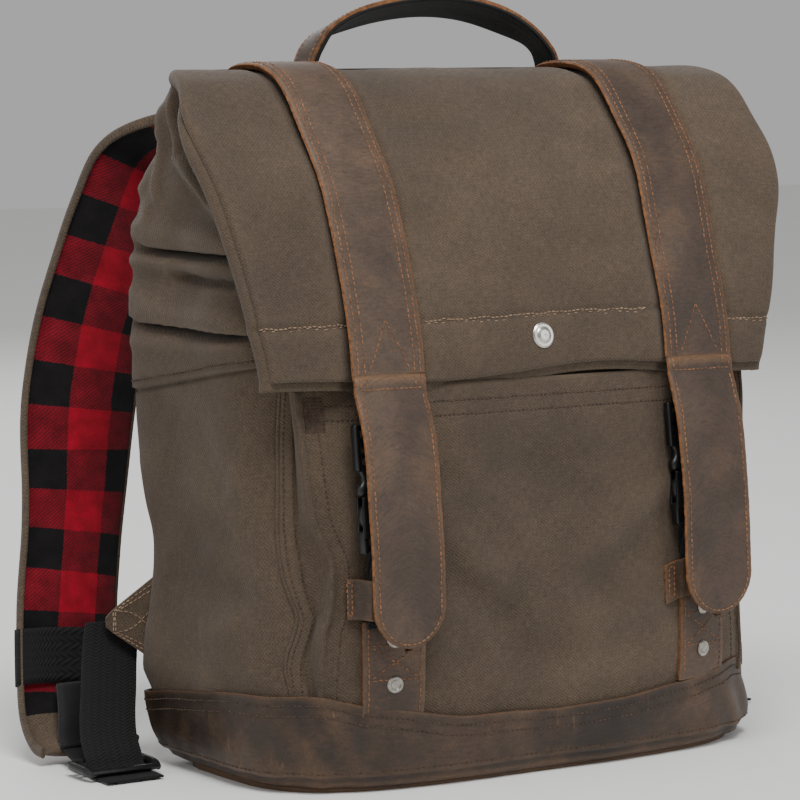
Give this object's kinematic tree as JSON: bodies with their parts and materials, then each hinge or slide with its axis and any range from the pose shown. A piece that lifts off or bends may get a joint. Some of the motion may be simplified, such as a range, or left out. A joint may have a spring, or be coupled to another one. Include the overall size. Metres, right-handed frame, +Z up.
{
  "type": "roll-top backpack",
  "caption": "Roll-top canvas backpack with leather base, two leather closing straps over side-release buckles, carry handle and padded shoulder straps.",
  "frame": {"origin": "middle of the base's flat underside, on the ground", "axes": "+Z up, front with the straps towards -Y, +X to the right as seen from the front"},
  "size_m": [0.49, 0.2571, 0.4526],
  "materials": {
    "canvas": "waxed cotton canvas, olive brown, matte",
    "strap_leather": "oiled pull-up leather with raw edges",
    "base_leather": "dark oiled leather, scuffed",
    "webbing": "black woven webbing",
    "buckle_plastic": "moulded black plastic",
    "board": "stiff base board",
    "metal": "antiqued nickel",
    "plaid": "red and black buffalo-check flannel"
  },
  "bodies": {
    "root": {"front_panel": "canvas", "back_panel": "canvas", "side_panel_left": "canvas", "side_panel_right": "canvas", "base_skirt": "base_leather", "base_panel": "base_leather", "base_board": "board", "back_pad": "canvas", "front_pocket": "canvas", "lower_tab_left": "strap_leather", "lower_tab_right": "strap_leather", "rivets": "metal", "keeper_loop_left": "strap_leather", "keeper_loop_right": "strap_leather", "lower_webbing_left": "webbing", "lower_webbing_right": "webbing", "wing_tab_left": "canvas", "wing_tab_right": "canvas", "adjuster_webbing_left": "webbing", "adjuster_webbing_right": "webbing", "handle_band": "strap_leather", "strap_anchor_left": "strap_leather", "strap_anchor_right": "strap_leather"},
    "flap_top": {"flap_top": "canvas", "strap_bridge_left": "strap_leather", "strap_bridge_right": "strap_leather"},
    "flap_outer": {"flap_outer": "canvas", "snap_cap": "metal", "strap_left": "strap_leather", "strap_right": "strap_leather"},
    "flap_inner": {"flap_inner": "canvas", "snap_stud": "metal"},
    "strap_tip_left": {"strap_tip_left": "strap_leather"},
    "strap_tip_right": {"strap_tip_right": "strap_leather"},
    "buckle_female_left": {"buckle_female_left": "buckle_plastic", "female_webbing_left": "webbing"},
    "buckle_female_right": {"buckle_female_right": "buckle_plastic", "female_webbing_right": "webbing"},
    "buckle_male_left": {"buckle_male_left": "buckle_plastic", "male_webbing_left": "webbing"},
    "buckle_male_right": {"buckle_male_right": "buckle_plastic", "male_webbing_right": "webbing"},
    "prong_left_a": {"prong_left_a": "buckle_plastic"},
    "prong_left_b": {"prong_left_b": "buckle_plastic"},
    "prong_right_a": {"prong_right_a": "buckle_plastic"},
    "prong_right_b": {"prong_right_b": "buckle_plastic"},
    "handle": {"handle_leather": "strap_leather", "handle_webbing": "webbing"},
    "shoulder_left": {"shoulder_pad_left": "canvas", "shoulder_lining_left": "plaid", "web_wrap_left": "webbing", "lock_loop_left": "webbing"},
    "shoulder_right": {"shoulder_pad_right": "canvas", "shoulder_lining_right": "plaid", "web_wrap_right": "webbing", "lock_loop_right": "webbing"},
    "lock_left": {"ladder_lock_left": "buckle_plastic"},
    "lock_right": {"ladder_lock_right": "buckle_plastic"}
  },
  "joints": [
    {"name": "flap_lift", "type": "hinge", "parent": "root", "child": "flap_top", "pos_m": [0, 0.054, 0.4096], "axis": [-1, 0, 0], "range_deg": [0, 90]},
    {"name": "flap_unfold", "type": "hinge", "parent": "flap_top", "child": "flap_outer", "pos_m": [0, 0.004, 0.405], "axis": [-1, 0, 0], "range_deg": [0, 57]},
    {"name": "mouth_part", "type": "hinge", "parent": "flap_outer", "child": "flap_inner", "pos_m": [0, 0.004, 0.4], "axis": [1, 0, 0], "range_deg": [0, 20]},
    {"name": "strap_tip_lift_left", "type": "hinge", "parent": "flap_outer", "child": "strap_tip_left", "pos_m": [-0.112, -0.078, 0.2312], "axis": [-1, 0, 0], "range_deg": [0, 110]},
    {"name": "strap_tip_lift_right", "type": "hinge", "parent": "flap_outer", "child": "strap_tip_right", "pos_m": [0.112, -0.078, 0.2312], "axis": [-1, 0, 0], "range_deg": [0, 110]},
    {"name": "buckle_pull_left", "type": "slide", "parent": "root", "child": "buckle_male_left", "axis": [0, 0.1392, 0.9903], "range_m": [0, 0.012]},
    {"name": "buckle_part_left", "type": "slide", "parent": "root", "child": "buckle_female_left", "axis": [0, -0.1392, -0.9903], "range_m": [0, 0.012]},
    {"name": "prong_squeeze_left_a", "type": "hinge", "parent": "buckle_male_left", "child": "prong_left_a", "pos_m": [-0.0974, -0.08306, 0.17264], "axis": [0, 0.9903, -0.1392], "range_deg": [0, 6], "stiffness_Nm_per_rad": 0.3},
    {"name": "prong_squeeze_left_b", "type": "hinge", "parent": "buckle_male_left", "child": "prong_left_b", "pos_m": [-0.1266, -0.08306, 0.17264], "axis": [0, -0.9903, 0.1392], "range_deg": [0, 6], "stiffness_Nm_per_rad": 0.3},
    {"name": "buckle_pull_right", "type": "slide", "parent": "root", "child": "buckle_male_right", "axis": [0, 0.1392, 0.9903], "range_m": [0, 0.012]},
    {"name": "buckle_part_right", "type": "slide", "parent": "root", "child": "buckle_female_right", "axis": [0, -0.1392, -0.9903], "range_m": [0, 0.012]},
    {"name": "prong_squeeze_right_a", "type": "hinge", "parent": "buckle_male_right", "child": "prong_right_a", "pos_m": [0.1266, -0.08306, 0.17264], "axis": [0, 0.9903, -0.1392], "range_deg": [0, 6], "stiffness_Nm_per_rad": 0.3},
    {"name": "prong_squeeze_right_b", "type": "hinge", "parent": "buckle_male_right", "child": "prong_right_b", "pos_m": [0.0974, -0.08306, 0.17264], "axis": [0, -0.9903, 0.1392], "range_deg": [0, 6], "stiffness_Nm_per_rad": 0.3},
    {"name": "handle_fold", "type": "hinge", "parent": "root", "child": "handle", "pos_m": [0, 0.066, 0.4122], "axis": [-1, 0, 0], "range_deg": [0, 80], "stiffness_Nm_per_rad": 0.15},
    {"name": "shoulder_swing_left", "type": "hinge", "parent": "root", "child": "shoulder_left", "pos_m": [-0.09, 0.084, 0.384], "axis": [1, 0, 0], "range_deg": [0, 25]},
    {"name": "shoulder_swing_right", "type": "hinge", "parent": "root", "child": "shoulder_right", "pos_m": [0.09, 0.084, 0.384], "axis": [1, 0, 0], "range_deg": [0, 25]},
    {"name": "lock_tilt_left", "type": "hinge", "parent": "shoulder_left", "child": "lock_left", "pos_m": [-0.22, 0.06, 0.0065], "axis": [-1, 0, 0], "range_deg": [0, 40]},
    {"name": "lock_tilt_right", "type": "hinge", "parent": "shoulder_right", "child": "lock_right", "pos_m": [0.22, 0.06, 0.0065], "axis": [-1, 0, 0], "range_deg": [0, 40]}
  ],
  "couplings": [
    {"joint": "flap_unfold", "follows": "flap_lift", "ratio": 0.633},
    {"joint": "mouth_part", "follows": "flap_lift", "ratio": 0.222},
    {"joint": "buckle_part_left", "follows": "buckle_pull_left", "ratio": 1},
    {"joint": "prong_squeeze_left_b", "follows": "prong_squeeze_left_a", "ratio": 1},
    {"joint": "buckle_part_right", "follows": "buckle_pull_right", "ratio": 1},
    {"joint": "prong_squeeze_right_b", "follows": "prong_squeeze_right_a", "ratio": 1}
  ]
}
